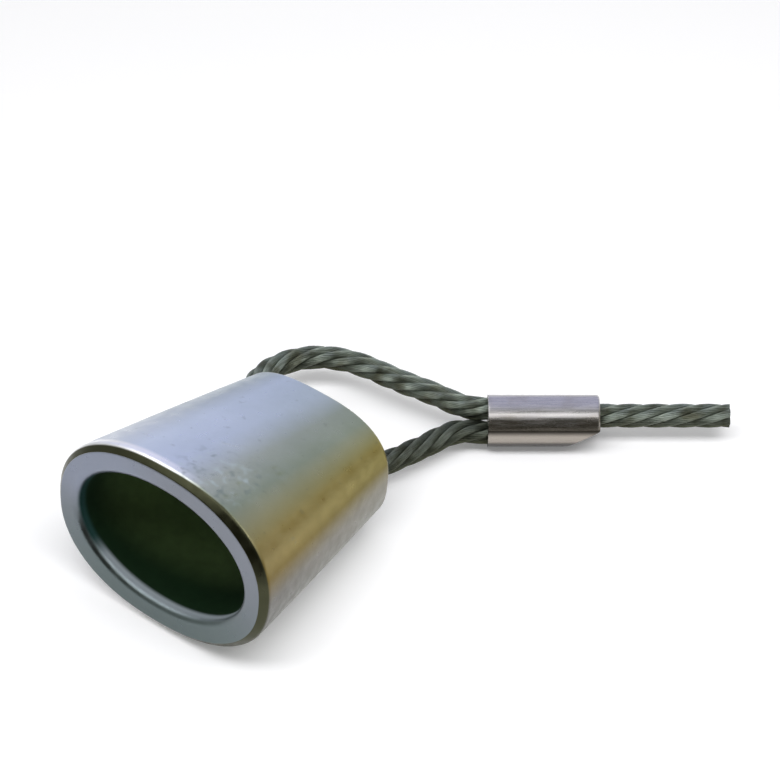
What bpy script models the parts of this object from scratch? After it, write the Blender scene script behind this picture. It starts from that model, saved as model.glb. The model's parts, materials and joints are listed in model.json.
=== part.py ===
"""A wire rope eye, the pressed ferrule that closes it, and the tapered oval sleeve over its bight.

The rope lies along X. Its tail leaves the ferrule towards +X and its eye opens towards -X. The sleeve
lies on its tapered side, with its narrow mouth over the eye's bight and its wide mouth turned away.
Everything rests on the plane z = 0, and the origin is the middle of the object's box on that plane.
"""

import math

import bmesh
import bpy
import numpy as np
from mathutils import Vector

MM = 0.001
CLEARANCE = 0.35 * MM

# Rope: six strands round one core, left-hand lay.
ROPE_DIAMETER = 13.0 * MM
TAIL_LENGTH = 71.4 * MM
STRAND_COUNT = 6
STRAND_DIAMETER = 4.0 * MM
STRAND_CIRCLE_RADIUS = (ROPE_DIAMETER - STRAND_DIAMETER) / 2
CORE_DIAMETER = 2 * (STRAND_CIRCLE_RADIUS - STRAND_DIAMETER / 2 - CLEARANCE)
LAY_LENGTH = 6.6 * ROPE_DIAMETER
STATION_SPACING = 7.0 * MM
STRAND_SIDES = 8

# Ferrule: a pressed tube along X. Two legs of rope lie in it side by side, on a line that is rolled
# up from +Y. The tail leaves its other end a little off its middle, and is alone there, so the dead
# end's side slants in towards it.
FERRULE_DIAMETER = 2.2 * ROPE_DIAMETER
FERRULE_LENGTH = 4.7 * ROPE_DIAMETER
FERRULE_EDGE = 0.6 * MM
TAIL_EDGE = 1.2 * MM
SLANT_LENGTH = 16.0 * MM
SLANT_DEPTH = 8.0 * MM
SLANT_STEPS = 4
POCKET_DEPTH = 45.0 * MM
LEG_OFFSET = ROPE_DIAMETER / 2 + 0.1 * MM
TAIL_OFFSET = 2.8 * MM
DEAD_END_DEPTH = 20.0 * MM
SWERVE_START = 22.0 * MM
SWERVE_END = 44.0 * MM
LEG_ROLL = math.radians(47.7)
THROAT = Vector((46.6, 63.7, FERRULE_DIAMETER / 2 / MM)) * MM
FERRULE_SIDES = 40

# Sleeve: a tapered oval tube, wide mouth at the front and narrow mouth over the eye.
SLEEVE_LENGTH = 127.3 * MM
FRONT_HALF_WIDTH = 70.9 * MM
FRONT_HALF_HEIGHT = 51.0 * MM
REAR_HALF_WIDTH = 50.8 * MM
REAR_HALF_HEIGHT = 34.8 * MM
FRONT_SQUARENESS = 2.23
REAR_SQUARENESS = 2.68
MOUTH_SQUARENESS = 2.05
FRONT_EDGE = 3.7 * MM
REAR_EDGE = 2.8 * MM
FRONT_WALL = 11.0 * MM
FRONT_LIP = 4.2 * MM
REAR_WALL = 10.0 * MM
REAR_LIP = 2.4 * MM
LIP_STEPS = 4
SLEEVE_HEADING = math.radians(51.4)
SLEEVE_FROM_THROAT = Vector((-93.2, -38.8, 0.0)) * MM
SLEEVE_SIDES = 64


def leg_line(offset):
    """A place in the ferrule's cross-section, out along the line that its two legs of rope share."""
    return offset * math.cos(LEG_ROLL), offset * math.sin(LEG_ROLL)


def in_ferrule(depth, offset):
    """A point of the rope inside the ferrule or on its axis line, from the eye end's middle."""
    across, up = leg_line(offset)
    return Vector((depth, across, up + FERRULE_DIAMETER / 2))


# The eye's route outside the ferrule, in millimetres: x and y from the ferrule's eye end, z above the
# plane it rests on. It goes out along the far leg, round the bight and back along the near leg.
EYE_ROUTE = (
    (-9.5, 5.6, 19.0),
    (-26.5, 14.4, 19.6),
    (-48.5, 27.3, 19.6),
    (-70.5, 41.0, 19.6),
    (-92.5, 46.8, 19.7),
    (-112.2, 41.6, 20.0),
    (-123.6, 31.2, 20.4),
    (-128.4, 20.0, 20.7),
    (-127.4, 8.0, 20.9),
    (-122.3, -4.0, 21.0),
    (-116.0, -16.0, 21.0),
    (-109.8, -27.5, 21.0),
    (-102.3, -38.0, 20.8),
    (-92.0, -45.4, 20.2),
    (-79.3, -47.2, 18.8),
    (-66.0, -42.3, 16.8),
    (-53.4, -33.3, 14.9),
    (-42.5, -24.7, 13.4),
    (-31.8, -16.6, 12.6),
    (-20.0, -8.6, 12.7),
    (-9.5, -5.1, 11.2),
)


def rope_route():
    """The points that the rope's middle passes through, from the end of its tail to its dead end."""
    tail_depths = [FERRULE_LENGTH + TAIL_LENGTH * part for part in (1, 0.83, 0.66, 0.49, 0.32, 0.15, -0.06)]
    live_rope = [in_ferrule(depth, TAIL_OFFSET) for depth in (*tail_depths, SWERVE_END)]
    live_rope.append(in_ferrule((SWERVE_START + SWERVE_END) / 2, (TAIL_OFFSET + LEG_OFFSET) / 2))
    live_rope += [in_ferrule(depth, LEG_OFFSET) for depth in (SWERVE_START, SWERVE_START / 2, 0)]
    eye = [Vector(point) * MM for point in EYE_ROUTE]
    dead_end = [in_ferrule(depth, -LEG_OFFSET) for depth in (0, DEAD_END_DEPTH / 2, DEAD_END_DEPTH)]
    ground = Vector((THROAT.x, THROAT.y, 0))
    return [point + ground for point in live_rope + eye + dead_end]


def smooth_curve(points, samples_per_span=24):
    """A natural cubic spline through the points, as an array of close samples."""
    points = np.array([tuple(point) for point in points])
    spans = np.linalg.norm(np.diff(points, axis=0), axis=1)
    count = len(points)
    system = np.eye(count)
    right = np.zeros_like(points)
    for i in range(1, count - 1):
        system[i, i - 1 : i + 2] = spans[i - 1], 2 * (spans[i - 1] + spans[i]), spans[i]
        slopes = np.diff(points[i - 1 : i + 2], axis=0) / spans[i - 1 : i + 1, None]
        right[i] = 6 * (slopes[1] - slopes[0])
    bend = np.linalg.solve(system, right)
    samples = []
    for i, span in enumerate(spans):
        for part in np.arange(samples_per_span) / samples_per_span:
            rest = 1 - part
            curved = (part**3 - part) * bend[i + 1] + (rest**3 - rest) * bend[i]
            samples.append(rest * points[i] + part * points[i + 1] + curved * span**2 / 6)
    samples.append(points[-1])
    return np.array(samples)


def stations(points):
    """Even steps along the smooth curve: a place, two directions across the rope, and the length so far."""
    samples = smooth_curve(points)
    along = np.concatenate(([0], np.cumsum(np.linalg.norm(np.diff(samples, axis=0), axis=1))))
    steps = round(along[-1] / STATION_SPACING)
    lengths = np.linspace(0, along[-1], steps + 1)
    places = np.stack([np.interp(lengths, along, samples[:, i]) for i in range(3)], axis=1)
    headings = [Vector(heading).normalized() for heading in np.gradient(places, axis=0)]
    found = []
    side = Vector((0, 1, 0))
    for place, heading, length in zip(places, headings, lengths):
        side = (side - side.dot(heading) * heading).normalized()
        found.append((Vector(place), side, heading.cross(side), length))
    return found


def loft(name, rings, closed_tube=False):
    """A solid through rings of points. A closed tube joins its last ring to its first, others are capped."""
    mesh = bpy.data.meshes.new(name)
    shape = bmesh.new()
    loops = [[shape.verts.new(point) for point in ring] for ring in rings]
    pairs = list(zip(loops, loops[1:]))
    if closed_tube:
        pairs.append((loops[-1], loops[0]))
    for first, second in pairs:
        for i in range(len(first)):
            after = (i + 1) % len(first)
            shape.faces.new((first[i], first[after], second[after], second[i]))
    if not closed_tube:
        shape.faces.new(reversed(loops[0]))
        shape.faces.new(loops[-1])
    bmesh.ops.recalc_face_normals(shape, faces=shape.faces)
    shape.to_mesh(mesh)
    shape.free()
    mesh.shade_smooth()
    mesh.set_sharp_from_angle(angle=math.radians(35))
    part = bpy.data.objects.new(name, mesh)
    bpy.context.scene.collection.objects.link(part)
    return part


def strand_rings(rope, turn):
    """Rings of one strand, cut square to the rope, where the slant of the lay widens them."""
    radius = STRAND_DIAMETER / 2
    slant = math.hypot(1, 2 * math.pi * STRAND_CIRCLE_RADIUS / LAY_LENGTH)
    for place, side, up, length in rope:
        angle = turn - 2 * math.pi * length / LAY_LENGTH
        outward = side * math.cos(angle) + up * math.sin(angle)
        sideways = up * math.cos(angle) - side * math.sin(angle)
        middle = place + outward * STRAND_CIRCLE_RADIUS
        ring = []
        for i in range(STRAND_SIDES):
            corner = 2 * math.pi * i / STRAND_SIDES
            widened = sideways * slant * math.sin(corner)
            ring.append(middle + radius * (outward * math.cos(corner) + widened))
        yield ring


def core_rings(rope):
    radius = CORE_DIAMETER / 2
    for place, side, up, _ in rope:
        corners = [2 * math.pi * i / STRAND_SIDES for i in range(STRAND_SIDES)]
        yield [place + radius * (side * math.cos(corner) + up * math.sin(corner)) for corner in corners]


def ferrule_ring(depth, half_length, half_width, offset, cut=0.0):
    """A ring across the ferrule: a circle, or a slot with round ends along the line of the two legs.

    A cut takes off that much of the dead end's side, and leaves a flat.
    """
    straight = half_length - half_width
    ring = []
    for i in range(FERRULE_SIDES):
        angle = 2 * math.pi * (i + 0.5) / FERRULE_SIDES
        along = half_width * math.cos(angle) + math.copysign(straight, math.cos(angle))
        along = max(along, cut - half_length) + offset
        across = half_width * math.sin(angle)
        ring.append(
            Vector((THROAT.x + depth, THROAT.y, THROAT.z))
            + Vector((0, math.cos(LEG_ROLL), math.sin(LEG_ROLL))) * along
            + Vector((0, -math.sin(LEG_ROLL), math.cos(LEG_ROLL))) * across
        )
    return ring


def ferrule_rings():
    """Down the outside from the eye end, then back up the inside: the tail's bore and the legs' pocket."""
    radius = FERRULE_DIAMETER / 2
    bore = ROPE_DIAMETER / 2 + CLEARANCE
    pocket = LEG_OFFSET + bore
    slant_start = FERRULE_LENGTH - SLANT_LENGTH
    slant_end = FERRULE_LENGTH - TAIL_EDGE
    steps = [step / SLANT_STEPS for step in range(SLANT_STEPS + 1)]
    slant = [
        ferrule_ring(slant_start + (slant_end - slant_start) * step, radius, radius, 0, SLANT_DEPTH * step)
        for step in steps
    ]
    return [
        ferrule_ring(0, radius - FERRULE_EDGE, radius - FERRULE_EDGE, 0),
        ferrule_ring(FERRULE_EDGE, radius, radius, 0),
        *slant,
        ferrule_ring(FERRULE_LENGTH, radius - TAIL_EDGE, radius - TAIL_EDGE, 0, SLANT_DEPTH),
        ferrule_ring(FERRULE_LENGTH, bore, bore, TAIL_OFFSET),
        ferrule_ring(POCKET_DEPTH, bore, bore, TAIL_OFFSET),
        ferrule_ring(POCKET_DEPTH, pocket, bore, 0),
        ferrule_ring(0, pocket, bore, 0),
    ]


def oval(x, half_width, half_height, squareness):
    """A ring of the sleeve across its bore: an ellipse that grows squarer as its exponent rises above 2."""
    ring = []
    for i in range(SLEEVE_SIDES):
        angle = 2 * math.pi * i / SLEEVE_SIDES
        across, up = math.cos(angle), math.sin(angle)
        ring.append(
            Vector(
                (
                    x,
                    half_width * math.copysign(abs(across) ** (2 / squareness), across),
                    half_height * math.copysign(abs(up) ** (2 / squareness), up),
                )
            )
        )
    return ring


def front_lip():
    """The round lip of the wide mouth: how far back from the flat ring, and how far in from its edge."""
    for step in range(1, LIP_STEPS + 1):
        angle = math.pi / 2 * step / LIP_STEPS
        yield FRONT_LIP * (1 - math.cos(angle)), FRONT_LIP * math.sin(angle)


def sleeve_rings():
    """Along the outside from the narrow mouth to the wide one, then back along the bore."""

    def front(x, inset, squareness):
        return oval(x, FRONT_HALF_WIDTH - inset, FRONT_HALF_HEIGHT - inset, squareness)

    def rear(x, inset, squareness):
        return oval(x, REAR_HALF_WIDTH - inset, REAR_HALF_HEIGHT - inset, squareness)

    lip = [
        front(SLEEVE_LENGTH - back, FRONT_WALL + inward, MOUTH_SQUARENESS)
        for back, inward in front_lip()
    ]
    return [
        rear(0, REAR_EDGE, REAR_SQUARENESS),
        rear(REAR_EDGE, 0, REAR_SQUARENESS),
        front(SLEEVE_LENGTH - FRONT_EDGE, 0, FRONT_SQUARENESS),
        front(SLEEVE_LENGTH, FRONT_EDGE, FRONT_SQUARENESS),
        front(SLEEVE_LENGTH, FRONT_WALL, MOUTH_SQUARENESS),
        *lip,
        rear(REAR_LIP, REAR_WALL, REAR_SQUARENESS),
        rear(0, REAR_WALL - REAR_LIP, REAR_SQUARENESS),
    ]


def sleeve_tilt():
    """The bore's rise towards the wide mouth when the tapered side lies flat on the ground."""
    return math.atan2(FRONT_HALF_HEIGHT - REAR_HALF_HEIGHT, SLEEVE_LENGTH - REAR_EDGE - FRONT_EDGE)


def material(name, colour, roughness, metallic=1.0):
    made = bpy.data.materials.new(name)
    made.use_nodes = True
    shader = made.node_tree.nodes["Principled BSDF"]
    shader.inputs["Base Color"].default_value = (*colour, 1)
    shader.inputs["Roughness"].default_value = roughness
    shader.inputs["Metallic"].default_value = metallic
    return made


def build_rope():
    rope = stations(rope_route())
    wire = material("rope_wire", (0.16, 0.17, 0.15), 0.42)
    for number in range(STRAND_COUNT):
        turn = 2 * math.pi * number / STRAND_COUNT
        strand = loft(f"rope_strand_{number + 1}", list(strand_rings(rope, turn)))
        strand.data.materials.append(wire)
    core = loft("rope_core", list(core_rings(rope)))
    core.data.materials.append(material("rope_core", (0.10, 0.09, 0.07), 0.8, metallic=0.0))


def build_ferrule():
    ferrule = loft("ferrule", ferrule_rings(), closed_tube=True)
    ferrule.data.materials.append(material("ferrule_steel", (0.62, 0.61, 0.60), 0.22))


def build_sleeve():
    """The sleeve hangs on an empty at its narrow mouth, on the line that it slides off the eye along."""
    tilt = sleeve_tilt()
    height = REAR_HALF_HEIGHT * math.cos(tilt) - REAR_EDGE * math.sin(tilt)
    slide = bpy.data.objects.new("sleeve_slide", None)
    slide.location = Vector((THROAT.x, THROAT.y, height)) + SLEEVE_FROM_THROAT
    slide.rotation_euler = (0, 0, SLEEVE_HEADING + math.pi)
    bpy.context.scene.collection.objects.link(slide)
    sleeve = loft("oval_sleeve", sleeve_rings(), closed_tube=True)
    sleeve.rotation_euler = (0, -tilt, 0)
    sleeve.parent = slide
    sleeve.data.materials.append(material("sleeve_steel", (0.50, 0.52, 0.54), 0.35))


for old in list(bpy.data.objects):
    bpy.data.objects.remove(old)
build_rope()
build_ferrule()
build_sleeve()
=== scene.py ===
"""A wire rope eye with its pressed ferrule and a loose tapered oval sleeve, in full detail."""

import json
import math

import bpy
import numpy as np
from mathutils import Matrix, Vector, noise


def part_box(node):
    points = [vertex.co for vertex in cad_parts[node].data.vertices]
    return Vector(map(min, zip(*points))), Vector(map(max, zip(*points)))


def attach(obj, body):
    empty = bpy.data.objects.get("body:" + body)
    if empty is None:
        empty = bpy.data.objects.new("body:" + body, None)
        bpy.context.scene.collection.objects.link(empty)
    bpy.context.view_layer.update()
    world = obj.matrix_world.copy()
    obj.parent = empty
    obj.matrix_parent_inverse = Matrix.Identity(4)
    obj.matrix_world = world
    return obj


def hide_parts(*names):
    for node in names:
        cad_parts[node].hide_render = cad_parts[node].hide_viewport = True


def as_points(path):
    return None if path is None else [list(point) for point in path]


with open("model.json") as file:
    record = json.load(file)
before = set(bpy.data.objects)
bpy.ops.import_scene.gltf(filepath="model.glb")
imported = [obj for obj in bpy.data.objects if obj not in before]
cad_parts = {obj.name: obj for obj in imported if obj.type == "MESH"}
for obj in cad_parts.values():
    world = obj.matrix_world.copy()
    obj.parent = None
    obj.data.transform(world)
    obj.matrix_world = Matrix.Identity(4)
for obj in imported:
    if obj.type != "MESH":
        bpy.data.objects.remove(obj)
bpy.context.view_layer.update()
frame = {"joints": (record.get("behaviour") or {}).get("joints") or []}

MM = 0.001

# Rope: six strands of 1 + 6 + 12 wires round a fibre core. The strands have a left-hand lay, and the
# wires in them a right-hand one.
ROPE_DIAMETER = 13.0 * MM
TAIL_LENGTH = 71.4 * MM
STRAND_COUNT = 6
STRAND_DIAMETER = 4.25 * MM
STRAND_CIRCLE_RADIUS = 4.5 * MM
LAY_LENGTH = 6.6 * ROPE_DIAMETER
OUTER_WIRES = 12
OUTER_WIRE_DIAMETER = 0.87 * MM
INNER_WIRES = 6
INNER_WIRE_DIAMETER = 0.8 * MM
WIRE_LAY_LENGTH = 34.0 * MM
WIRE_STEP = 2.3 * MM
WIRE_SIDES = 6
STUB_STATIONS = 3
WIRE_SEED = 4
CORE_RADIUS = 2.05 * MM
CORE_LOBE = 0.2 * MM
CORE_LOBES = 3
CORE_SIDES = 24

# Ferrule
FERRULE_DIAMETER = 2.2 * ROPE_DIAMETER
FERRULE_LENGTH = 4.7 * ROPE_DIAMETER
EYE_EDGE = 0.6 * MM
TAIL_EDGE = 1.6 * MM
BELL = 1.3 * MM
SLANT_LENGTH = 16.5 * MM
SLANT_DEPTH = 8.0 * MM
SLANT_SOFTNESS = 0.12  # how gently the slant begins, as a share of its length
SLANT_SHARPNESS = 60  # how crisply the slant meets the round side
SLANT_EDGE = 0.3  # how much of the ends' rounding the slant has
DIE_MARK = 0.09 * MM
DIE_MARK_WIDTH = 0.05  # radians
UNEVENNESS = 0.05 * MM
WAVE_LENGTH = 9.0 * MM
WAVES_ROUND = 1.7  # waves to a radian
POCKET_DEPTH = 45.0 * MM
POCKET_GAP = 0.4 * MM
POCKET_WAIST = 4.0 * MM
POCKET_SHARPNESS = 6  # how crisply the pocket's two round lobes meet its waist
BORE_GAP = 0.35 * MM
LEG_OFFSET = ROPE_DIAMETER / 2 + 0.1 * MM
TAIL_OFFSET = 2.8 * MM
DEAD_END_DEPTH = 20.0 * MM
SWERVE_START = 22.0 * MM
SWERVE_END = 44.0 * MM
LEG_ROLL = math.radians(47.7)
FERRULE_SIDES = 144
SIDE_RINGS = 60
EYE_EDGE_STEPS = 5
TAIL_EDGE_STEPS = 7
BELL_STEPS = 5
TAIL_BORE_RINGS = 6
POCKET_RINGS = 10

# Sleeve
SLEEVE_LENGTH = 127.3 * MM
FRONT_HALF_WIDTH = 70.9 * MM
FRONT_HALF_HEIGHT = 51.0 * MM
REAR_HALF_WIDTH = 50.8 * MM
REAR_HALF_HEIGHT = 34.8 * MM
FRONT_SQUARENESS = 2.23
REAR_SQUARENESS = 2.68
MOUTH_SQUARENESS = 2.05
FRONT_EDGE = 3.7 * MM
OUTER_SOFTNESS = 1.5 * MM
INNER_SOFTNESS = 0.8 * MM
REAR_EDGE = 2.8 * MM
FRONT_WALL = 11.0 * MM
FRONT_LIP = 4.2 * MM
REAR_WALL = 10.0 * MM
REAR_LIP = 2.4 * MM
BARE_LIP = 8.0 * MM
SLEEVE_FROM_THROAT = Vector((-93.2, -38.8, 0.0)) * MM
SLEEVE_SIDES = 400
BODY_RINGS = 130
BORE_RINGS = 30
FLAT_STEPS = 5
CORNER_POINTS = 7
FRONT_LIP_STEPS = 12
REAR_STEPS = 6

# Small dents in the sleeve's upper right side, near its wide mouth: their places along its length, and
# their angles in degrees from its right side up over its top.
DENTS = 16
DENT_SEED = 11
DENT_SHARES = (0.62, 0.96)
DENT_ANGLES = (57, 88)
DENT_RADII = (1.2 * MM, 2.3 * MM)
DENT_DEPTHS = (0.45 * MM, 0.9 * MM)

# The eye's route outside the ferrule, in millimetres: x and y from the ferrule's eye end, z above the
# plane it rests on. It goes out along the far leg, round the bight and back along the near leg.
EYE_ROUTE = (
    (-9.5, 5.6, 19.0),
    (-26.5, 14.4, 19.6),
    (-48.5, 27.3, 19.6),
    (-70.5, 41.0, 19.6),
    (-92.5, 46.8, 19.7),
    (-112.2, 41.6, 20.0),
    (-123.6, 31.2, 20.4),
    (-128.4, 20.0, 20.7),
    (-127.4, 8.0, 20.9),
    (-122.3, -4.0, 21.0),
    (-116.0, -16.0, 21.0),
    (-109.8, -27.5, 21.0),
    (-102.3, -38.0, 20.8),
    (-92.0, -45.4, 20.2),
    (-79.3, -47.2, 18.8),
    (-66.0, -42.3, 16.8),
    (-53.4, -33.3, 14.9),
    (-42.5, -24.7, 13.4),
    (-31.8, -16.6, 12.6),
    (-20.0, -8.6, 12.7),
    (-9.5, -5.1, 11.2),
)

# The middle of the ferrule's eye end, the ground below it, and the way that the sleeve slides.
ferrule_low, ferrule_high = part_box("ferrule")
THROAT = Vector((ferrule_low.x, (ferrule_low.y + ferrule_high.y) / 2, FERRULE_DIAMETER / 2))
BELOW_THROAT = Vector((THROAT.x, THROAT.y, 0))
SLIDE = Vector(next(joint["axis"] for joint in frame["joints"] if joint["name"] == "sleeve_slide"))


# ---------------------------------------------------------------- meshes


def grid_faces(rows, columns, start=0, closed_rows=False):
    """Quads between closed rings of points. With closed_rows the last ring is joined to the first."""
    row = np.arange(rows if closed_rows else rows - 1)[:, None]
    column = np.arange(columns)[None, :]
    after = (column + 1) % columns
    below = (row + 1) % rows
    quads = np.stack(np.broadcast_arrays(*(start + r * columns + c for r, c in (
        (row, column), (row, after), (below, after), (below, column)))), axis=-1)
    return quads.reshape(-1, 4).tolist()


def make_object(name, points, faces, attributes=None, sharp_angle=40):
    """A smooth-shaded object whose points carry the attributes. Edges over the angle in degrees are sharp."""
    mesh = bpy.data.meshes.new(name)
    mesh.from_pydata(points, [], faces)
    for label, values in (attributes or {}).items():
        layer = mesh.attributes.new(label, "FLOAT", "POINT")
        layer.data.foreach_set("value", np.asarray(values, np.float32))
    mesh.update()
    mesh.shade_smooth()
    mesh.set_sharp_from_angle(angle=math.radians(sharp_angle))
    made = bpy.data.objects.new(name, mesh)
    bpy.context.scene.collection.objects.link(made)
    return made


def unit(vectors):
    return vectors / np.linalg.norm(vectors, axis=-1, keepdims=True)


def smooth_curve(points, samples_per_span=24):
    """A natural cubic spline through the points, as an array of close samples."""
    points = np.array([tuple(point) for point in points])
    spans = np.linalg.norm(np.diff(points, axis=0), axis=1)
    count = len(points)
    system = np.eye(count)
    right = np.zeros_like(points)
    for i in range(1, count - 1):
        system[i, i - 1 : i + 2] = spans[i - 1], 2 * (spans[i - 1] + spans[i]), spans[i]
        slopes = np.diff(points[i - 1 : i + 2], axis=0) / spans[i - 1 : i + 1, None]
        right[i] = 6 * (slopes[1] - slopes[0])
    bend = np.linalg.solve(system, right)
    samples = []
    for i, span in enumerate(spans):
        for part in np.arange(samples_per_span) / samples_per_span:
            rest = 1 - part
            curved = (part**3 - part) * bend[i + 1] + (rest**3 - rest) * bend[i]
            samples.append(rest * points[i] + part * points[i + 1] + curved * span**2 / 6)
    samples.append(points[-1])
    return np.array(samples)


# ---------------------------------------------------------------- rope


def in_ferrule(depth, offset):
    """A point at a depth from the ferrule's eye end, off its axis by an offset towards the live rope."""
    across, up = offset * math.cos(LEG_ROLL), offset * math.sin(LEG_ROLL)
    return Vector((depth, across, up + FERRULE_DIAMETER / 2))


def rope_route():
    """The points that the rope's middle passes through, from the end of its tail to its dead end."""
    tail_depths = [FERRULE_LENGTH + TAIL_LENGTH * part for part in (1, 0.83, 0.66, 0.49, 0.32, 0.15, -0.06)]
    live_rope = [in_ferrule(depth, TAIL_OFFSET) for depth in (*tail_depths, SWERVE_END)]
    live_rope.append(in_ferrule((SWERVE_START + SWERVE_END) / 2, (TAIL_OFFSET + LEG_OFFSET) / 2))
    live_rope += [in_ferrule(depth, LEG_OFFSET) for depth in (SWERVE_START, SWERVE_START / 2, 0)]
    eye = [Vector(point) * MM for point in EYE_ROUTE]
    dead_end = [in_ferrule(depth, -LEG_OFFSET) for depth in (0, DEAD_END_DEPTH / 2, DEAD_END_DEPTH)]
    return [point + BELOW_THROAT for point in live_rope + eye + dead_end]


class Line:
    """Even stations along the rope's middle, with a side and an up direction carried along it."""

    def __init__(self):
        samples = smooth_curve(rope_route())
        along = np.concatenate(([0], np.cumsum(np.linalg.norm(np.diff(samples, axis=0), axis=1))))
        self.length = along[-1]
        self.lengths = np.linspace(0, along[-1], round(along[-1] / WIRE_STEP) + 1)
        self.places = np.stack([np.interp(self.lengths, along, samples[:, i]) for i in range(3)], axis=1)
        self.headings = unit(np.gradient(self.places, axis=0))
        side = np.array((0.0, 1.0, 0.0))
        sides = []
        for heading in self.headings:
            side = unit(side - side.dot(heading) * heading)
            sides.append(side)
        self.sides = np.array(sides)
        self.ups = np.cross(self.headings, self.sides)

    def outward(self, turn):
        """Unit vectors that turn round the rope with the lay of its strands."""
        angle = (turn - 2 * math.pi * self.lengths / LAY_LENGTH)[:, None]
        return self.sides * np.cos(angle) + self.ups * np.sin(angle)


def wire_middle(line, turn, wire_turn, wire_circle):
    """The middle of one wire: it winds round its strand while the strand winds round the rope."""
    outward = line.outward(turn)
    strand = line.places + outward * STRAND_CIRCLE_RADIUS
    along = unit(np.gradient(strand, axis=0))
    out = unit(outward - (outward * along).sum(1, keepdims=True) * along)
    beside = np.cross(along, out)
    angle = (wire_turn + 2 * math.pi * line.lengths / WIRE_LAY_LENGTH)[:, None]
    return strand + wire_circle * (out * np.cos(angle) + beside * np.sin(angle))


def wire_rings(line, middle, diameter):
    """Round rings along a wire. The first and the last are slid into the plane straight across the rope."""
    along = unit(np.gradient(middle, axis=0))
    out = unit(middle - line.places[: len(middle)])
    out = unit(out - (out * along).sum(1, keepdims=True) * along)
    beside = np.cross(along, out)
    corner = (2 * math.pi * np.arange(WIRE_SIDES) / WIRE_SIDES)[None, :, None]
    around = out[:, None] * np.cos(corner) + beside[:, None] * np.sin(corner)
    rings = middle[:, None] + diameter / 2 * around
    for end in (0, len(middle) - 1):
        heading = line.headings[end]
        off = (line.places[end] - rings[end]) @ heading
        rings[end] += off[:, None] * along[end] / along[end].dot(heading)
    return rings


def strand_wires(line, turn):
    """Each wire's middle line and diameter: the outer wires, and stubs of the inner ones at the tail end."""
    outer_circle = (STRAND_DIAMETER - OUTER_WIRE_DIAMETER) / 2
    for number in range(OUTER_WIRES):
        yield wire_middle(line, turn, 2 * math.pi * number / OUTER_WIRES, outer_circle), OUTER_WIRE_DIAMETER
    for number in range(INNER_WIRES):
        middle = wire_middle(line, turn, 2 * math.pi * number / INNER_WIRES, INNER_WIRE_DIAMETER)
        yield middle[:STUB_STATIONS], INNER_WIRE_DIAMETER
    yield wire_middle(line, turn, 0, 0)[:STUB_STATIONS], INNER_WIRE_DIAMETER


def build_wires(line, wire_material, cut_material):
    """Every wire of the rope in one mesh, with the faces of the tail's cut end in their own material.

    Each point has its wire's own random number, its height above the rope's middle in rope radii, and
    its share of the way from the tail's end to the dead end.
    """
    random = np.random.default_rng(WIRE_SEED)
    turns = 2 * math.pi * np.arange(STRAND_COUNT) / STRAND_COUNT
    points, faces, cuts, start = [], [], [], 0
    looks = {"wire": [], "above": [], "share": []}
    for middle, diameter in (wire for turn in turns for wire in strand_wires(line, turn)):
        rings = wire_rings(line, middle, diameter)
        count = len(rings)
        last = start + (count - 1) * WIRE_SIDES
        points.append(rings.reshape(-1, 3))
        faces += grid_faces(count, WIRE_SIDES, start)
        cuts.append(len(faces))
        faces.append([start + i for i in reversed(range(WIRE_SIDES))])
        faces.append([last + i for i in range(WIRE_SIDES)])
        above = (rings[:, :, 2] - line.places[:count, None, 2]) / (ROPE_DIAMETER / 2)
        looks["wire"].append(np.full(count * WIRE_SIDES, random.random()))
        looks["above"].append(above.ravel())
        looks["share"].append(np.repeat(line.lengths[:count] / line.length, WIRE_SIDES))
        start = last + WIRE_SIDES
    attributes = {label: np.concatenate(values) for label, values in looks.items()}
    rope = make_object("wire_rope", np.concatenate(points).tolist(), faces, attributes, sharp_angle=50)
    rope.data.materials.append(wire_material)
    rope.data.materials.append(cut_material)
    for cut in cuts:
        rope.data.polygons[cut].material_index = 1
    return rope


def build_core(line, core_material):
    """The fibre core: three yarns twisted together, seen only where the rope is cut."""
    corner = (2 * math.pi * np.arange(CORE_SIDES) / CORE_SIDES)[None, :, None]
    twist = (2 * math.pi * line.lengths / LAY_LENGTH)[:, None, None]
    radius = CORE_RADIUS + CORE_LOBE * np.cos(CORE_LOBES * (corner + twist))
    rings = line.places[:, None] + radius * (
        line.sides[:, None] * np.cos(corner) + line.ups[:, None] * np.sin(corner)
    )
    faces = grid_faces(len(rings), CORE_SIDES)
    faces.append(list(reversed(range(CORE_SIDES))))
    last = (len(rings) - 1) * CORE_SIDES
    faces.append([last + i for i in range(CORE_SIDES)])
    core = make_object("fibre_core", rings.reshape(-1, 3).tolist(), faces)
    core.data.materials.append(core_material)
    return core


# ---------------------------------------------------------------- ferrule


def ferrule_ring(depth, radius_at, offset):
    """A ring across the ferrule, whose radius is a function of the angle from the line of its two legs."""
    leg = np.array((0, math.cos(LEG_ROLL), math.sin(LEG_ROLL)))
    across = np.array((0, -math.sin(LEG_ROLL), math.cos(LEG_ROLL)))
    angles = 2 * math.pi * (np.arange(FERRULE_SIDES) + 0.5) / FERRULE_SIDES
    radii = np.array([radius_at(angle) for angle in angles])[:, None]
    middle = np.array(THROAT) + np.array((depth, 0, 0)) + leg * offset
    return middle + radii * (np.cos(angles)[:, None] * leg + np.sin(angles)[:, None] * across)


def soft_most(first, second, sharpness):
    """The larger of two lengths, with a soft change between them. A negative sharpness takes the smaller."""
    return (first**sharpness + second**sharpness) ** (1 / sharpness)


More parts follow.
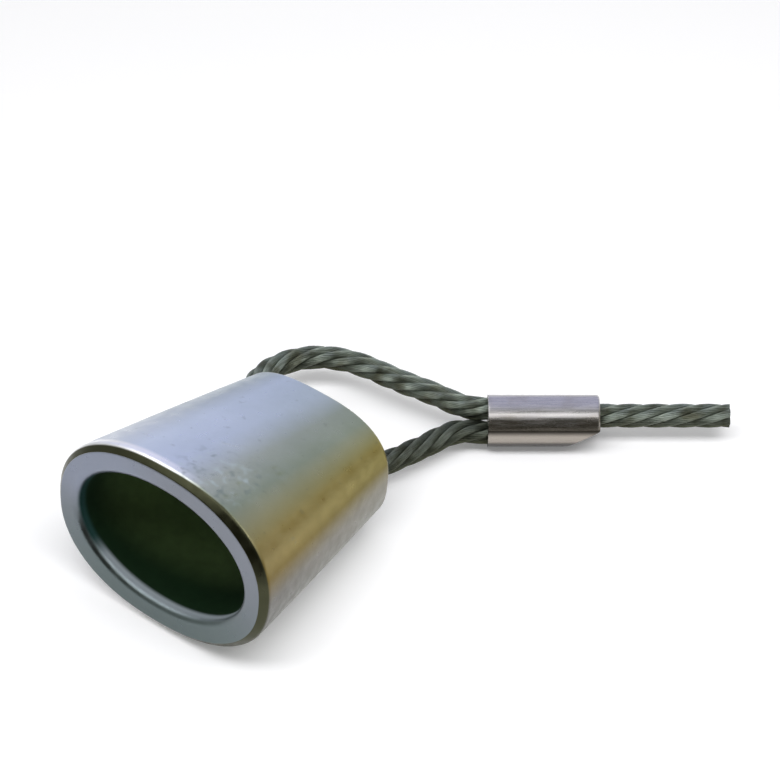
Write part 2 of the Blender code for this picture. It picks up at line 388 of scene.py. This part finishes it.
def ferrule_outside(depth, inset):
    """The outer ring at a depth: a pressed cylinder whose dead end's side slants in towards the tail."""
    share = (depth - FERRULE_LENGTH + SLANT_LENGTH) / SLANT_LENGTH
    cut = SLANT_DEPTH * (share + math.sqrt(share * share + SLANT_SOFTNESS * SLANT_SOFTNESS)) / 2
    reach = FERRULE_DIAMETER / 2 - cut - SLANT_EDGE * inset

    def radius_at(angle):
        right, up = math.cos(angle) * WAVES_ROUND, math.sin(angle) * WAVES_ROUND
        wave = noise.noise(Vector((depth / WAVE_LENGTH, right, up)))
        off_mark = math.remainder(angle + LEG_ROLL, math.pi) / DIE_MARK_WIDTH
        die_mark = DIE_MARK * math.exp(-off_mark * off_mark)
        radius = FERRULE_DIAMETER / 2 - inset + UNEVENNESS * wave + die_mark
        towards_dead_end = max(-math.cos(angle), 1e-6)  # never zero, as it divides
        return soft_most(radius, reach / towards_dead_end, -SLANT_SHARPNESS)

    return ferrule_ring(depth, radius_at, 0)


def ferrule_pocket(depth, widening):
    """The hole for the two legs: a figure of eight, as the steel is pressed in between them."""
    radius = ROPE_DIAMETER / 2 + POCKET_GAP + widening

    def radius_at(angle):
        reach = radius**2 - (LEG_OFFSET * math.sin(angle)) ** 2
        lobe = LEG_OFFSET * abs(math.cos(angle)) + math.sqrt(max(reach, 0))
        return soft_most(lobe, POCKET_WAIST + widening, POCKET_SHARPNESS)

    return ferrule_ring(depth, radius_at, 0)


def ferrule_bore(depth, widening):
    """The round hole that the tail leaves by."""
    radius = ROPE_DIAMETER / 2 + BORE_GAP + widening
    return ferrule_ring(depth, lambda angle: radius, TAIL_OFFSET)


def quarter(steps):
    """Points of a quarter circle: (how far along, how far in), each from 0 to 1."""
    for i in range(steps + 1):
        angle = math.pi / 2 * i / steps
        yield math.sin(angle), 1 - math.cos(angle)


def ferrule_outer_rings():
    """The rings from the eye end to the tail end, with both ends' edges rounded."""
    end = FERRULE_LENGTH - TAIL_EDGE
    eye_edge = [(EYE_EDGE * (1 - along), EYE_EDGE * inward) for along, inward in quarter(EYE_EDGE_STEPS)]
    side = [(depth, 0) for depth in np.linspace(EYE_EDGE, end, SIDE_RINGS)[1:-1]]
    tail_edge = [(end + TAIL_EDGE * along, TAIL_EDGE * inward) for along, inward in quarter(TAIL_EDGE_STEPS)]
    return [ferrule_outside(depth, inset) for depth, inset in eye_edge[::-1] + side + tail_edge]


def ferrule_inner_rings():
    """The rings from the tail end back to the eye end, with a small bell at both mouths."""
    bell = [(BELL * (1 - along), BELL * inward) for along, inward in quarter(BELL_STEPS)]
    bore_depths = np.linspace(FERRULE_LENGTH - 2 * BELL, POCKET_DEPTH, TAIL_BORE_RINGS)
    pocket_depths = np.linspace(POCKET_DEPTH, 2 * BELL, POCKET_RINGS)
    tail_mouth = [ferrule_bore(FERRULE_LENGTH - depth, widening) for depth, widening in reversed(bell)]
    bore = [ferrule_bore(depth, 0) for depth in bore_depths]
    pocket = [ferrule_pocket(depth, 0) for depth in pocket_depths]
    eye_mouth = [ferrule_pocket(depth, widening) for depth, widening in bell]
    return tail_mouth + bore + pocket + eye_mouth


def build_ferrule(steel):
    rings = ferrule_outer_rings() + ferrule_inner_rings()
    faces = grid_faces(len(rings), FERRULE_SIDES, closed_rows=True)
    ferrule = make_object("pressed_ferrule", np.concatenate(rings).tolist(), faces)
    ferrule.data.materials.append(steel)
    return ferrule


# ---------------------------------------------------------------- sleeve


def sleeve_frame():
    """The middle of the narrow mouth, and the bore, sideways and upward directions."""
    tilt = math.atan2(FRONT_HALF_HEIGHT - REAR_HALF_HEIGHT, SLEEVE_LENGTH - REAR_EDGE - FRONT_EDGE)
    height = REAR_HALF_HEIGHT * math.cos(tilt) - REAR_EDGE * math.sin(tilt)
    mouth = Vector((THROAT.x, THROAT.y, height)) + SLEEVE_FROM_THROAT
    bore = SLIDE.normalized() * math.cos(tilt) + Vector((0, 0, math.sin(tilt)))
    sideways = Vector((0, 0, 1)).cross(bore).normalized()
    return mouth, bore, sideways, bore.cross(sideways)


def oval(x, share, inset, squareness):
    """A ring at x from the narrow mouth, in the sleeve's own directions: the narrow oval at share 0, the
    wide one at share 1.
    """
    half_width = REAR_HALF_WIDTH + share * (FRONT_HALF_WIDTH - REAR_HALF_WIDTH) - inset
    half_height = REAR_HALF_HEIGHT + share * (FRONT_HALF_HEIGHT - REAR_HALF_HEIGHT) - inset
    angles = 2 * math.pi * np.arange(SLEEVE_SIDES) / SLEEVE_SIDES
    across, up = np.cos(angles), np.sin(angles)
    return np.stack(
        (
            np.full(SLEEVE_SIDES, x),
            half_width * np.sign(across) * np.abs(across) ** (2 / squareness),
            half_height * np.sign(up) * np.abs(up) ** (2 / squareness),
        ),
        axis=1,
    )


def soft_corner(before, corner, after, reach):
    """Points round a corner of the profile, from a little before it to a little after it."""
    before, corner, after = (np.array(point) for point in (before, corner, after))
    for t in np.linspace(0, 1, CORNER_POINTS):
        back, on = (1 - t) ** 2 * unit(before - corner), t * t * unit(after - corner)
        yield corner + reach * (back + on)


def outside_profile():
    """The narrow mouth's rounded edge, the tapered side and the front chamfer with its soft corners."""
    start, end = REAR_EDGE, SLEEVE_LENGTH - FRONT_EDGE
    squarer = REAR_SQUARENESS - FRONT_SQUARENESS
    for along, inward in reversed(list(quarter(REAR_STEPS))):
        yield REAR_EDGE * (1 - along), 0.0, REAR_EDGE * inward, REAR_SQUARENESS, 0.0
    for share in np.linspace(0, 1, BODY_RINGS + 1)[1:-1]:
        x = start + share * (end - OUTER_SOFTNESS - start)
        yield x, share, 0.0, REAR_SQUARENESS - share * squarer, 0.0
    outer, inner, ring = (end, 0.0), (SLEEVE_LENGTH, FRONT_EDGE), (SLEEVE_LENGTH, FRONT_WALL)
    for x, inset in soft_corner((start, 0.0), outer, inner, OUTER_SOFTNESS):
        yield x, 1.0, inset, FRONT_SQUARENESS, 0.5 * inset / (FRONT_EDGE - INNER_SOFTNESS)
    for x, inset in soft_corner(outer, inner, ring, INNER_SOFTNESS):
        yield x, 1.0, inset, FRONT_SQUARENESS, 0.5 if inset < FRONT_EDGE else 1.0


def front_profile():
    """The flat ring, and the round lip inside it."""
    for share in np.linspace(0, 1, FLAT_STEPS + 1)[1:-1]:
        squareness = FRONT_SQUARENESS + share * (MOUTH_SQUARENESS - FRONT_SQUARENESS)
        inset = FRONT_EDGE + INNER_SOFTNESS + share * (FRONT_WALL - FRONT_EDGE - INNER_SOFTNESS)
        yield SLEEVE_LENGTH, 1.0, inset, squareness, 1.0
    for along, inward in reversed(list(quarter(FRONT_LIP_STEPS))):
        x = SLEEVE_LENGTH - FRONT_LIP * (1 - along)
        yield x, 1.0, FRONT_WALL + FRONT_LIP * (1 - inward), MOUTH_SQUARENESS, 1.0 + 0.5 * (1 - along)


def bore_profile():
    """The bore, and the narrow mouth's lip."""
    lip_end = SLEEVE_LENGTH - FRONT_LIP
    for share in np.linspace(1, 0, BORE_RINGS + 1)[1:-1]:
        x = REAR_LIP + share * (lip_end - REAR_LIP)
        wall = REAR_WALL + share * (FRONT_WALL + FRONT_LIP - REAR_WALL)
        squareness = REAR_SQUARENESS + share * (MOUTH_SQUARENESS - REAR_SQUARENESS)
        yield x, share, wall, squareness, 1.5 if SLEEVE_LENGTH - x < BARE_LIP else 2.0
    for along, inward in quarter(REAR_STEPS):
        yield REAR_LIP * (1 - along), 0.0, REAR_WALL - REAR_LIP * inward, REAR_SQUARENESS, 2.0 - along


def sleeve_profile():
    """The rings along the outside from the narrow mouth to the wide one, then back along the bore.

    Each has x, how far it is towards the wide oval, its inset, its squareness and its zone:
    0 outside, 0.5 the front chamfer, 1 the flat ring, 1.5 the bare steel inside it and 2 the bore.
    """
    yield from outside_profile()
    yield from front_profile()
    yield from bore_profile()


def dent(rings, zones):
    """Push small round dents into the outside. The rings are in the sleeve's own directions."""
    random = np.random.default_rng(DENT_SEED)
    outside = np.array(zones) == 0
    skin = rings[outside]
    for _ in range(DENTS):
        share, degrees = random.uniform(*DENT_SHARES), random.uniform(*DENT_ANGLES)
        radius, depth = random.uniform(*DENT_RADII), random.uniform(*DENT_DEPTHS)
        middle = skin[round(share * (len(skin) - 1)), round(degrees / 360 * SLEEVE_SIDES)]
        away = np.linalg.norm(skin - middle, axis=2, keepdims=True) / radius
        inward = -unit(middle * (0, 1, 1))
        skin = skin + inward * depth * np.exp(-(away**2))
    rings[outside] = skin


def build_sleeve(steel):
    mouth, *directions = sleeve_frame()
    rows = list(sleeve_profile())
    zones = [row[4] for row in rows]
    rings = np.stack([oval(x, share, inset, squareness) for x, share, inset, squareness, _ in rows])
    dent(rings, zones)
    points = rings.reshape(-1, 3) @ np.array(directions) + np.array(mouth)
    angles = np.tile(2 * math.pi * np.arange(SLEEVE_SIDES) / SLEEVE_SIDES, len(rows))
    attributes = {
        "zone": np.repeat(zones, SLEEVE_SIDES),
        "to_side": np.cos(angles),
        "to_top": np.sin(angles),
        "to_front": rings[:, :, 0].ravel() / SLEEVE_LENGTH,
    }
    faces = grid_faces(len(rows), SLEEVE_SIDES, closed_rows=True)
    sleeve = make_object("tapered_sleeve", points.tolist(), faces, attributes)
    sleeve.data.materials.append(steel)
    return sleeve


# ---------------------------------------------------------------- materials


def node(tree, kind, inputs=None, **settings):
    """A node with its settings and inputs: an input is a value, or another node's output."""
    made = tree.nodes.new(kind)
    for name, value in settings.items():
        setattr(made, name, value)
    for name, value in (inputs or {}).items():
        if isinstance(value, bpy.types.NodeSocket):
            tree.links.new(value, made.inputs[name])
        else:
            made.inputs[name].default_value = value
    return made


def material(name, metallic=1.0, roughness=0.5):
    made = bpy.data.materials.new(name)
    made.use_nodes = True
    shader = made.node_tree.nodes["Principled BSDF"]
    shader.inputs["Roughness"].default_value = roughness
    shader.inputs["Metallic"].default_value = metallic
    return made, made.node_tree, shader


def place(tree):
    """The point's place in the shared frame, in metres."""
    return node(tree, "ShaderNodeTexCoord").outputs["Object"]


def attribute(tree, name):
    return node(tree, "ShaderNodeAttribute", attribute_name=name).outputs["Fac"]


def clouds(tree, where, scale, detail=3.0):
    inputs = {"Vector": where, "Scale": scale, "Detail": detail}
    return node(tree, "ShaderNodeTexNoise", inputs).outputs["Fac"]


def stretch(tree, value, low, high, to_low=0.0, to_high=1.0, soft=True):
    """to_low where the value is low, to_high where it is high, and a soft or an even change between."""
    inputs = {"Value": value, "From Min": low, "From Max": high, "To Min": to_low, "To Max": to_high}
    kind = "SMOOTHSTEP" if soft else "LINEAR"
    return node(tree, "ShaderNodeMapRange", inputs, interpolation_type=kind).outputs["Result"]


def maths(tree, operation, first, second):
    return node(tree, "ShaderNodeMath", {0: first, 1: second}, operation=operation).outputs[0]


def times(tree, first, second):
    return maths(tree, "MULTIPLY", first, second)


def mix(tree, factor, first, second, blend="MIX"):
    """The first colour, turning to the second with the factor. A colour is three numbers or an output."""
    made = tree.nodes.new("ShaderNodeMixRGB")
    made.blend_type = blend
    for name, value in (("Fac", factor), ("Color1", first), ("Color2", second)):
        if isinstance(value, bpy.types.NodeSocket):
            tree.links.new(value, made.inputs[name])
        else:
            made.inputs[name].default_value = value if name == "Fac" else (*value, 1)
    return made.outputs["Color"]


def ramp(tree, value, stops):
    """A colour for each value from 0 to 1, mixed between stops of a place and a colour."""
    made = node(tree, "ShaderNodeValToRGB", {"Fac": value})
    elements = made.color_ramp.elements
    while len(elements) < len(stops):
        elements.new(0.5)
    for element, (position, colour) in zip(elements, stops):
        element.position = position
        element.color = (*colour, 1)
    return made.outputs["Color"]


def mottled(tree, colour, pattern, dark, light):
    """A colour made darker and lighter by a pattern."""
    return mix(tree, 1.0, colour, mix(tree, pattern, dark, light), "MULTIPLY")


def bump(tree, shader, height, distance):
    inputs = {"Height": height, "Distance": distance}
    tree.links.new(node(tree, "ShaderNodeBump", inputs).outputs["Normal"], shader.inputs["Normal"])


def wire_steel():
    """Dark drawn wire, varied from wire to wire, with painted shade below and darker on the near leg."""
    made, tree, shader = material("wire_steel")
    where = place(tree)
    colour = mix(tree, attribute(tree, "wire"), (0.235, 0.27, 0.225), (0.35, 0.395, 0.345))
    grime = stretch(tree, clouds(tree, where, 90.0, 4.0), 0.42, 0.72)
    colour = mix(tree, times(tree, grime, 0.8), colour, (0.12, 0.12, 0.075))
    # Painted shade: the wires are darker on the rope's underside, where shade falls.
    under = stretch(tree, attribute(tree, "above"), 0.6, -0.55)
    colour = mix(tree, times(tree, under, 0.8), colour, (0.06, 0.062, 0.032))
    # Darker from the near leg on to the dead end.
    darker_near_leg = stretch(tree, attribute(tree, "share"), 0.72, 0.80)
    colour = mix(tree, times(tree, darker_near_leg, 0.6), colour, (0.07, 0.075, 0.05))
    rough = stretch(tree, clouds(tree, where, 300.0), 0.3, 0.7, 0.42, 0.62)
    tree.links.new(colour, shader.inputs["Base Color"])
    tree.links.new(rough, shader.inputs["Roughness"])
    bump(tree, shader, clouds(tree, where, 1500.0), 0.05 * MM)
    return made


def cut_steel():
    made, tree, shader = material("cut_steel", roughness=0.35)
    where = place(tree)
    colour = mix(tree, clouds(tree, where, 2500.0), (0.42, 0.42, 0.41), (0.62, 0.61, 0.58))
    tree.links.new(colour, shader.inputs["Base Color"])
    bump(tree, shader, clouds(tree, where, 3000.0), 0.04 * MM)
    return made


def greased_fibre():
    made, tree, shader = material("greased_fibre", metallic=0.0, roughness=0.75)
    where = place(tree)
    colour = mix(tree, clouds(tree, where, 1800.0, 6.0), (0.035, 0.028, 0.018), (0.13, 0.10, 0.06))
    tree.links.new(colour, shader.inputs["Base Color"])
    bump(tree, shader, clouds(tree, where, 2600.0, 6.0), 0.2 * MM)
    return made


def pressed_steel():
    """Bright steel with streaks along it; browner below and a dark band round it as painted reflections, and
    painted shade underneath.
    """
    made, tree, shader = material("pressed_steel")
    where = place(tree)
    along = node(tree, "ShaderNodeMapping", {"Vector": where, "Scale": (1.0, 14.0, 14.0)}).outputs["Vector"]
    streaks = clouds(tree, along, 60.0, 5.0)
    colour = mix(tree, stretch(tree, streaks, 0.35, 0.65), (0.42, 0.41, 0.41), (0.48, 0.465, 0.47))
    smudge = stretch(tree, clouds(tree, where, 70.0, 4.0), 0.5, 0.75)
    colour = mix(tree, smudge, colour, (0.38, 0.36, 0.34))

    height = node(tree, "ShaderNodeSeparateXYZ", {"Vector": where}).outputs["Z"]
    # Painted reflection: the lower part is browner, standing for the warm floor that it reflects.
    below = stretch(tree, height, 20.0 * MM, 17.0 * MM)
    colour = mix(tree, below, colour, (0.37, 0.335, 0.295))
    # Painted reflection: a dark band round the ferrule at these heights stands for the dark room in front
    # that it reflects, near black along its lower part.
    belt_bottom = stretch(tree, height, 14.5 * MM, 19.0 * MM)
    belt_top = stretch(tree, height, 22.5 * MM, 20.5 * MM)
    upper_half = stretch(tree, height, 18.4 * MM, 20.4 * MM)
    painted_dark_band = mix(tree, upper_half, (0.012, 0.010, 0.006), (0.225, 0.205, 0.175))
    colour = mix(tree, times(tree, belt_bottom, belt_top), colour, painted_dark_band)
    # Painted shade: the underside darkens towards the floor, where shade falls.
    underneath = stretch(tree, height, 12.2 * MM, 8.5 * MM)
    colour = mix(tree, underneath, colour, (0.06, 0.055, 0.05))

    tree.links.new(colour, shader.inputs["Base Color"])
    tree.links.new(stretch(tree, streaks, 0.3, 0.7, 0.22, 0.33), shader.inputs["Roughness"])
    bump(tree, shader, streaks, 0.012 * MM)
    return made


# The sleeve's tint round its outside: partly a heat tint and partly painted light, with painted reflections
# making the top lighter and bluer and the right golden, and painted shade darkening the lower side. Degrees
# from its right side up over its top, then the colour at its narrow end and at its wide one.
TINTS_AND_PAINTED_LIGHT = (
    (-180, (0.30, 0.33, 0.34), (0.42, 0.45, 0.47)),
    (-60, (0.26, 0.28, 0.25), (0.20, 0.21, 0.18)),
    (0, (0.23, 0.215, 0.175), (0.135, 0.13, 0.12)),
    (15, (0.18, 0.145, 0.035), (0.165, 0.12, 0.035)),
    (35, (0.46, 0.40, 0.16), (0.45, 0.38, 0.19)),
    (58, (0.32, 0.36, 0.245), (0.285, 0.325, 0.235)),
    (74, (0.32, 0.36, 0.27), (0.45, 0.48, 0.40)),
    (90, (0.50, 0.57, 0.58), (0.60, 0.66, 0.74)),
    (106, (0.50, 0.57, 0.635), (0.70, 0.77, 0.84)),
    (125, (0.28, 0.345, 0.40), (0.60, 0.64, 0.72)),
    (180, (0.26, 0.30, 0.32), (0.36, 0.39, 0.41)),
)


def tint_and_painted_light(tree):
    """The tint and painted light round the outside, from the narrow end's colours to the wide end's."""
    angle = maths(tree, "ARCTAN2", attribute(tree, "to_top"), attribute(tree, "to_side"))
    turn = stretch(tree, angle, -math.pi, math.pi, soft=False)
    narrow = ramp(tree, turn, [((degrees + 180) / 360, tint) for degrees, tint, _ in TINTS_AND_PAINTED_LIGHT])
    wide = ramp(tree, turn, [((degrees + 180) / 360, tint) for degrees, _, tint in TINTS_AND_PAINTED_LIGHT])
    return mix(tree, stretch(tree, attribute(tree, "to_front"), 0.0, 1.0, soft=False), narrow, wide)


def sleeve_outside(tree, where):
    """The tinted outside, with a painted highlight at the upper left of its wide end and small dark specks.
    """
    to_side, to_front = attribute(tree, "to_side"), attribute(tree, "to_front")
    broad = clouds(tree, where, 22.0, 4.0)
    colour = mottled(tree, tint_and_painted_light(tree), broad, (0.80, 0.83, 0.82), (1.20, 1.18, 1.18))
    # Painted highlight: a near-white band along the upper left of the wide end.
    edge = times(tree, stretch(tree, to_front, 0.925, 0.95), stretch(tree, to_side, 0.35, -0.15))
    colour = mix(tree, edge, colour, (0.93, 0.93, 0.93))
    specks = stretch(tree, clouds(tree, where, 210.0, 5.0), 0.62, 0.76)
    return mix(tree, times(tree, specks, 0.22), colour, (0.16, 0.18, 0.15))


def handling_marks(tree, where, colour):
    """Light and dark marks over the outside's upper right, stronger towards the wide end."""
    to_side, to_front = attribute(tree, "to_side"), attribute(tree, "to_front")
    upper_right = times(tree, stretch(tree, to_side, -0.08, 0.12), stretch(tree, to_side, 0.60, 0.42))
    handled = times(tree, upper_right, stretch(tree, to_front, 0.60, 0.80, 0.0, 0.55))
    marks = clouds(tree, where, 170.0, 1.0)
    light, dark = stretch(tree, marks, 0.52, 0.78), stretch(tree, marks, 0.46, 0.24)
    colour = mix(tree, times(tree, light, handled), colour, (0.58, 0.68, 0.62))
    return mix(tree, times(tree, dark, handled), colour, (0.17, 0.22, 0.19))


def chamfer_painted_dark_reflection(tree):
    """How much a point is on the front chamfer, painted dark as a reflection. On the right its dark band
    starts nearer the outside, painted over the edge's highlight.
    """
    zone, to_side = attribute(tree, "zone"), attribute(tree, "to_side")
    dark_from = stretch(tree, to_side, 0.0, 0.5, 0.07, 0.0, soft=False)
    dark_at = stretch(tree, to_side, 0.0, 0.5, 0.2, 0.05, soft=False)
    return times(tree, stretch(tree, zone, dark_from, dark_at), stretch(tree, zone, 0.95, 0.6))


def flat_ring(tree, fine):
    """The wide mouth's flat ring: grey-green below as painted shade, paler above, and bluest at the upper
    left as a painted reflection.
    """
    to_side, to_top = attribute(tree, "to_side"), attribute(tree, "to_top")
    # Painted shade: darker and greener towards the bottom.
    colour = mix(tree, stretch(tree, to_top, -0.95, 0.5), (0.125, 0.155, 0.155), (0.20, 0.215, 0.245))
    # Painted reflection: bluer at the upper left.
    painted_reflection_upper_left = times(tree, stretch(tree, to_side, 0.2, -0.5), stretch(tree, to_top, -0.2, 0.4))
    colour = mix(tree, painted_reflection_upper_left, colour, (0.225, 0.248, 0.305))
    return mottled(tree, colour, fine, (0.86, 0.87, 0.88), (1.14, 1.13, 1.12))


def bare_lip(tree):
    """Bare steel just inside the wide mouth, darker and teal over its left side."""
    left = stretch(tree, attribute(tree, "to_side"), -0.62, -0.85)
    return mix(tree, left, (0.36, 0.41, 0.45), (0.02, 0.06, 0.055))


def dark_bore_and_painted_shade(tree, fine):
    """The bore's dark finish with painted shade over it: nearly black by the wide mouth, then green-brown,
    then grey further in.
    """
    to_side, to_front = attribute(tree, "to_side"), attribute(tree, "to_front")
    outward = maths(tree, "ADD", to_front, times(tree, to_side, 0.08))
    # Partly the bore's dark finish and partly painted shade, as the bore lies in shade.
    colour = mix(tree, stretch(tree, outward, 0.5, 0.86), (0.125, 0.20, 0.07), (0.006, 0.020, 0.007))
    colour = mix(tree, stretch(tree, to_front, 0.5, 0.15), colour, (0.04, 0.05, 0.035))
    return mottled(tree, colour, fine, (0.7, 0.7, 0.7), (1.3, 1.3, 1.3))


def sleeve_steel():
    """The sleeve's finishes with their painted light and shade, one over the other in the order of its zones.
    """
    made, tree, shader = material("sleeve_steel")
    shader.inputs["Specular IOR Level"].default_value = 0.2
    where = place(tree)
    zone = attribute(tree, "zone")
    fine = clouds(tree, where, 160.0, 5.0)
    colour = handling_marks(tree, where, sleeve_outside(tree, where))
    # Painted reflection: the front chamfer is painted a dark olive.
    colour = mix(tree, chamfer_painted_dark_reflection(tree), colour, (0.055, 0.057, 0.033))
    colour = mix(tree, stretch(tree, zone, 0.6, 1.0), colour, flat_ring(tree, fine))
    colour = mix(tree, stretch(tree, zone, 1.1, 1.4), colour, bare_lip(tree))
    colour = mix(tree, stretch(tree, zone, 1.55, 1.95), colour, dark_bore_and_painted_shade(tree, fine))
    satin = stretch(tree, fine, 0.3, 0.7, 0.27, 0.40)
    tree.links.new(colour, shader.inputs["Base Color"])
    tree.links.new(stretch(tree, zone, 1.05, 1.5, satin, 0.6), shader.inputs["Roughness"])
    tree.links.new(stretch(tree, zone, 1.15, 1.6, 1.0, 0.3), shader.inputs["Metallic"])
    bump(tree, shader, fine, 0.12 * MM)
    return made


# ---------------------------------------------------------------- stage


def build_floor():
    half = 6.0
    corners = [(-half, -half, 0), (half, -half, 0), (half, half, 0), (-half, half, 0)]
    floor = make_object("floor", corners, [(0, 1, 2, 3)])
    made, tree, shader = material("pale_floor", metallic=0.0, roughness=0.9)
    colour = mix(tree, clouds(tree, place(tree), 3.0), (0.90, 0.90, 0.92), (0.92, 0.92, 0.93))
    tree.links.new(colour, shader.inputs["Base Color"])
    shader.inputs["Specular IOR Level"].default_value = 0.1
    shader.inputs["Emission Color"].default_value = (1, 1, 1, 1)
    shader.inputs["Emission Strength"].default_value = 0.15
    floor.data.materials.append(made)


def facing(tree, direction, low, high):
    """0 to 1 over the part of the world towards a direction. low and high are cosines of the angle to it."""
    way = node(tree, "ShaderNodeTexCoord").outputs["Generated"]
    unit_way = tuple(Vector(direction).normalized())
    cosine = node(tree, "ShaderNodeVectorMath", {0: way, 1: unit_way}, operation="DOT_PRODUCT")
    return stretch(tree, cosine.outputs["Value"], low, high)


def build_world():
    """A pale studio for the metal to reflect. It lights surfaces evenly and looks nearly white itself."""
    world = bpy.data.worlds.new("studio")
    bpy.context.scene.world = world
    world.use_nodes = True
    # Its light on a surface is even, so it isn't sampled as a lamp is.
    world.cycles.sampling_method = "NONE"
    tree = world.node_tree
    ceiling = facing(tree, (0, 0, 1), 0.2, 0.9)
    lilac_behind = facing(tree, (0.1, 1, 0.75), 0.55, 0.9)
    warm_right = times(tree, facing(tree, (1, 0, 0.05), 0.75, 0.97), facing(tree, (0, 0, -1), -0.4, -0.05))
    dark_in_front = facing(tree, (-0.15, -1, 0.55), 0.45, 0.8)
    bright_patch = facing(tree, (-0.45, 0.2, 0.87), 0.91, 0.97)
    colour = mix(tree, ceiling, (0.50, 0.52, 0.50), (0.52, 0.53, 0.54))
    colour = mix(tree, lilac_behind, colour, (0.70, 0.72, 0.92))
    colour = mix(tree, warm_right, colour, (0.34, 0.26, 0.08))
    colour = mix(tree, dark_in_front, colour, (0.07, 0.065, 0.05))
    colour = mix(tree, bright_patch, colour, (2.2, 2.2, 2.2))
    ray = node(tree, "ShaderNodeLightPath").outputs
    colour = mix(tree, ray["Is Diffuse Ray"], colour, (0.34, 0.34, 0.34))
    colour = mix(tree, ray["Is Camera Ray"], colour, (0.95, 0.95, 0.96))
    tree.links.new(colour, tree.nodes["Background"].inputs["Color"])


LIGHT_WIDTH = 1.8


def soft_light(name, x, hangs, aims, height, depth, power):
    """A wide light above the floor. It hangs over one line along X and aims at another, both given as
    distances behind the ferrule's middle.
    """
    where, aim = Vector((x, THROAT.y + hangs, height)), Vector((x, THROAT.y + aims, 0))
    data = bpy.data.lights.new(name, "AREA")
    data.shape = "RECTANGLE"
    data.size, data.size_y = LIGHT_WIDTH, depth
    data.energy = power
    light = bpy.data.objects.new(name, data)
    light.location = where
    light.rotation_euler = (aim - where).to_track_quat("-Z", "Y").to_euler()
    bpy.context.scene.collection.objects.link(light)
    return light


def build_lights():
    """A key and a back light that leave no reflection, and a strip that is seen only as a reflection."""
    soft_light("overhead", 0.1, -0.34, -0.27, 1.0, 0.40, 12.0).visible_glossy = False
    soft_light("strip", -0.1, -0.41, -0.27, 0.95, 0.34, 3.9).visible_diffuse = False
    soft_light("back", -0.1, 0.75, 0.7, 1.0, 0.60, 3.0).visible_glossy = False


def build_camera():
    """A long lens at 42 degrees above the floor, looking straight along +Y."""
    elevation = math.radians(42.3)
    distance = 1841 * MM
    aim = BELOW_THROAT + Vector((-53.4, 8.2, 0)) * MM
    data = bpy.data.cameras.new("camera")
    data.sensor_width = 36.0
    data.lens = 153.8
    data.shift_y = 0.051282
    data.clip_start, data.clip_end = 0.05, 50
    camera = bpy.data.objects.new("camera", data)
    camera.location = aim + distance * Vector((0, -math.cos(elevation), math.sin(elevation)))
    camera.rotation_euler = (math.pi / 2 - elevation, 0, 0)
    bpy.context.scene.collection.objects.link(camera)
    bpy.context.scene.camera = camera


# ---------------------------------------------------------------- assembly


def dress_rope():
    line = Line()
    wires = build_wires(line, wire_steel(), cut_steel())
    core = build_core(line, greased_fibre())
    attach(wires, "rope_eye")
    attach(core, "rope_eye")
    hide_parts(*(f"rope_strand_{number + 1}" for number in range(STRAND_COUNT)))
    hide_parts("rope_core")
    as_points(line.places)


def dress_ferrule():
    ferrule = build_ferrule(pressed_steel())
    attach(ferrule, "rope_eye")
    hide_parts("ferrule")


def dress_sleeve():
    sleeve = build_sleeve(sleeve_steel())
    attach(sleeve, "sleeve")
    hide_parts("oval_sleeve")


# Plain colours, without a film look.
bpy.context.scene.view_settings.view_transform = "Standard"
build_camera()
dress_rope()
dress_ferrule()
dress_sleeve()
build_floor()
build_world()
build_lights()
